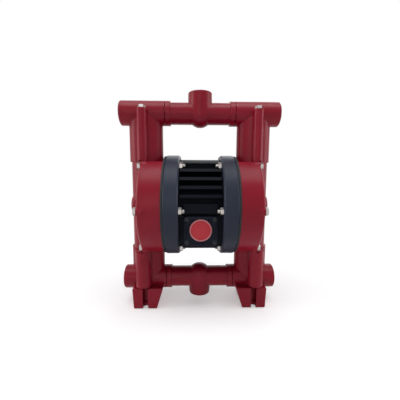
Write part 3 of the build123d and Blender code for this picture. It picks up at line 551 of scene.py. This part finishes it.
def sector(node, middle):
    """The mesh of a node within half a sector of an angle round the shaft, closed where it is cut."""
    cut = bmesh.new()
    cut.from_mesh(nodes[node].data)
    bmesh.ops.remove_doubles(cut, verts=cut.verts, dist=WELD * MM)
    for side in (-1, 1):
        edge = outward(middle + side * SECTOR / 2 + TURN / 4) * side
        bmesh.ops.bisect_plane(cut, geom=cut.verts[:] + cut.edges[:] + cut.faces[:], dist=WELD * MM,
                               plane_co=shaft_axis, plane_no=edge, clear_outer=True)
        bmesh.ops.remove_doubles(cut, verts=cut.verts, dist=WELD * MM)
        bmesh.ops.holes_fill(cut, edges=[line for line in cut.edges if line.is_boundary], sides=0)
    bmesh.ops.recalc_face_normals(cut, faces=cut.faces)
    mesh = bpy.data.meshes.new(node)
    cut.to_mesh(mesh)
    cut.free()
    mesh.materials.clear()
    mesh.materials.append(RUBBER)
    return mesh


for node in ("diaphragm_left", "diaphragm_right"):
    for i in range(SECTORS):
        angle = i * SECTOR
        piece = smooth_object(f"{node}_sector_{i + 1}", sector(node, angle), SECTOR_SHARP)
        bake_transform(piece)
        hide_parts(node)


# ---------------------------------------------------------------------------------------------------
# Floor and background
# ---------------------------------------------------------------------------------------------------
FLOOR_HALF = 6.0
FLOOR_BELOW = 0.0002            # metres under the feet
FLOOR_GREY = 0.86
FLOOR_ROUGHNESS = 0.9
FLOOR_LIFT = 0.36               # added for the rays that see the background
SHADOW_REACH = (0.12, 0.42)     # metres from the middle over which the floor turns plain white
SOFT_COLOUR = (0.92, 0.94, 1.0, 1)
SOFT_STRENGTH = 0.18


def shows_background(tree):
    """1 for the rays that see the white background: the camera's, and those mirrored in metal."""
    path = added(tree, "ShaderNodeLightPath")
    either = path.outputs["Is Camera Ray"]
    for kind in ("Is Glossy Ray", "Is Transmission Ray"):
        larger = added(tree, "ShaderNodeMath")
        larger.operation = "MAXIMUM"
        tree.links.new(either, larger.inputs[0])
        tree.links.new(path.outputs[kind], larger.inputs[1])
        either = larger.outputs["Value"]
    return either


def mixed(tree, share, first, second):
    """The first shader where share is 0 and the second where it is 1."""
    mix = added(tree, "ShaderNodeMixShader")
    for value, socket in zip((share, first, second), mix.inputs):
        tree.links.new(value, socket)
    return mix.outputs[0]


def studio_floor():
    """A matt pale floor that keeps the shadow, and is plain white to the camera further out."""
    mat = new_material("floor_white")
    tree = mat.node_tree
    link = tree.links.new
    matt = tree.nodes["Principled BSDF"]
    matt.inputs["Base Color"].default_value = grey(FLOOR_GREY)
    matt.inputs["Roughness"].default_value = FLOOR_ROUGHNESS
    matt.inputs["Specular IOR Level"].default_value = 0.0
    lift = added(tree, "ShaderNodeEmission", {"Strength": FLOOR_LIFT})
    lifted = added(tree, "ShaderNodeAddShader")
    link(matt.outputs[0], lifted.inputs[0])
    link(lift.outputs[0], lifted.inputs[1])
    plain = added(tree, "ShaderNodeEmission", {"Strength": 1.0})
    place = added(tree, "ShaderNodeTexCoord")
    distance = added(tree, "ShaderNodeVectorMath")
    distance.operation = "LENGTH"
    link(place.outputs["Object"], distance.inputs[0])
    fade = added(tree, "ShaderNodeMapRange", {"From Min": SHADOW_REACH[0], "From Max": SHADOW_REACH[1]})
    fade.interpolation_type = "SMOOTHSTEP"
    link(distance.outputs["Value"], fade.inputs["Value"])
    seen = mixed(tree, fade.outputs["Result"], lifted.outputs[0], plain.outputs[0])
    link(mixed(tree, shows_background(tree), matt.outputs[0], seen),
         tree.nodes["Material Output"].inputs["Surface"])
    return mat


floor_mesh = bpy.data.meshes.new("floor")
corners = [(-FLOOR_HALF, -FLOOR_HALF, 0), (FLOOR_HALF, -FLOOR_HALF, 0), (FLOOR_HALF, FLOOR_HALF, 0),
           (-FLOOR_HALF, FLOOR_HALF, 0)]
floor_mesh.from_pydata(corners, [], [(0, 1, 2, 3)])
floor_mesh.materials.append(studio_floor())
floor = bpy.data.objects.new("floor", floor_mesh)
bpy.context.scene.collection.objects.link(floor)
floor.location.z = -FLOOR_BELOW

world = bpy.data.worlds.new("studio")
bpy.context.scene.world = world
world.use_nodes = True
tree = world.node_tree
tree.nodes.clear()
soft = added(tree, "ShaderNodeBackground", {"Color": SOFT_COLOUR, "Strength": SOFT_STRENGTH})
white = added(tree, "ShaderNodeBackground", {"Color": grey(1), "Strength": 1.0})
out = added(tree, "ShaderNodeOutputWorld")
tree.links.new(mixed(tree, shows_background(tree), soft.outputs[0], white.outputs[0]),
               out.inputs["Surface"])


# ---------------------------------------------------------------------------------------------------
# Lamps. Places and sizes are metres and powers are watts.
# ---------------------------------------------------------------------------------------------------
def softbox(name, place, aim, width, height, power):
    """A rectangular area lamp that faces a point of the object."""
    data = bpy.data.lights.new(name, "AREA")
    data.shape = "RECTANGLE"
    data.size = width
    data.size_y = height
    data.energy = power
    lamp = bpy.data.objects.new(name, data)
    bpy.context.scene.collection.objects.link(lamp)
    lamp.location = place
    lamp.rotation_euler = (Vector(aim) - Vector(place)).to_track_quat("-Z", "Y").to_euler()


MIDDLE = (0, 0, 0.14)
softbox("left", place=(-1.2, -0.15, 0.45), aim=MIDDLE, width=0.4, height=1.0, power=5.8)
softbox("right", place=(1.2, -0.12, 0.42), aim=MIDDLE, width=0.35, height=1.0, power=4.6)
softbox("top", place=(0.0, -0.25, 1.3), aim=(0, 0, 0.15), width=1.1, height=0.7, power=8.2)
softbox("front", place=(-0.3, -1.4, 0.5), aim=MIDDLE, width=0.7, height=0.7, power=1.5)
softbox("back", place=(0.3, 1.2, 0.7), aim=MIDDLE, width=1.0, height=0.8, power=3.5)


# ---------------------------------------------------------------------------------------------------
# Camera at the photograph's place. Angles are radians and its place is in millimetres.
# ---------------------------------------------------------------------------------------------------
YAW, PITCH, ROLL = 0.0253, 0.1237, 0.0043
FOCAL_PX, FRAME_PX = 245.43, 400.0
EYE = (-7.69, -317.5, 175.48)
SENSOR_WIDTH = 36.0
CLIP = (0.01, 20.0)

camera_data = bpy.data.cameras.new("photo_view")
camera_data.sensor_width = SENSOR_WIDTH
camera_data.lens = FOCAL_PX / FRAME_PX * SENSOR_WIDTH
camera_data.clip_start, camera_data.clip_end = CLIP
camera = bpy.data.objects.new("photo_view", camera_data)
bpy.context.scene.collection.objects.link(camera)
right = Vector((math.cos(YAW), -math.sin(YAW), 0))
ahead = Vector((math.sin(YAW) * math.cos(PITCH), math.cos(YAW) * math.cos(PITCH), -math.sin(PITCH)))
above = right.cross(ahead)
turn = Matrix((right, above, -ahead)).transposed() @ Matrix.Rotation(ROLL, 3, "Z")
camera.matrix_world = Matrix.Translation(Vector(EYE) * MM) @ turn.to_4x4()
bpy.context.scene.camera = camera
bpy.context.scene.view_settings.view_transform = "Standard"
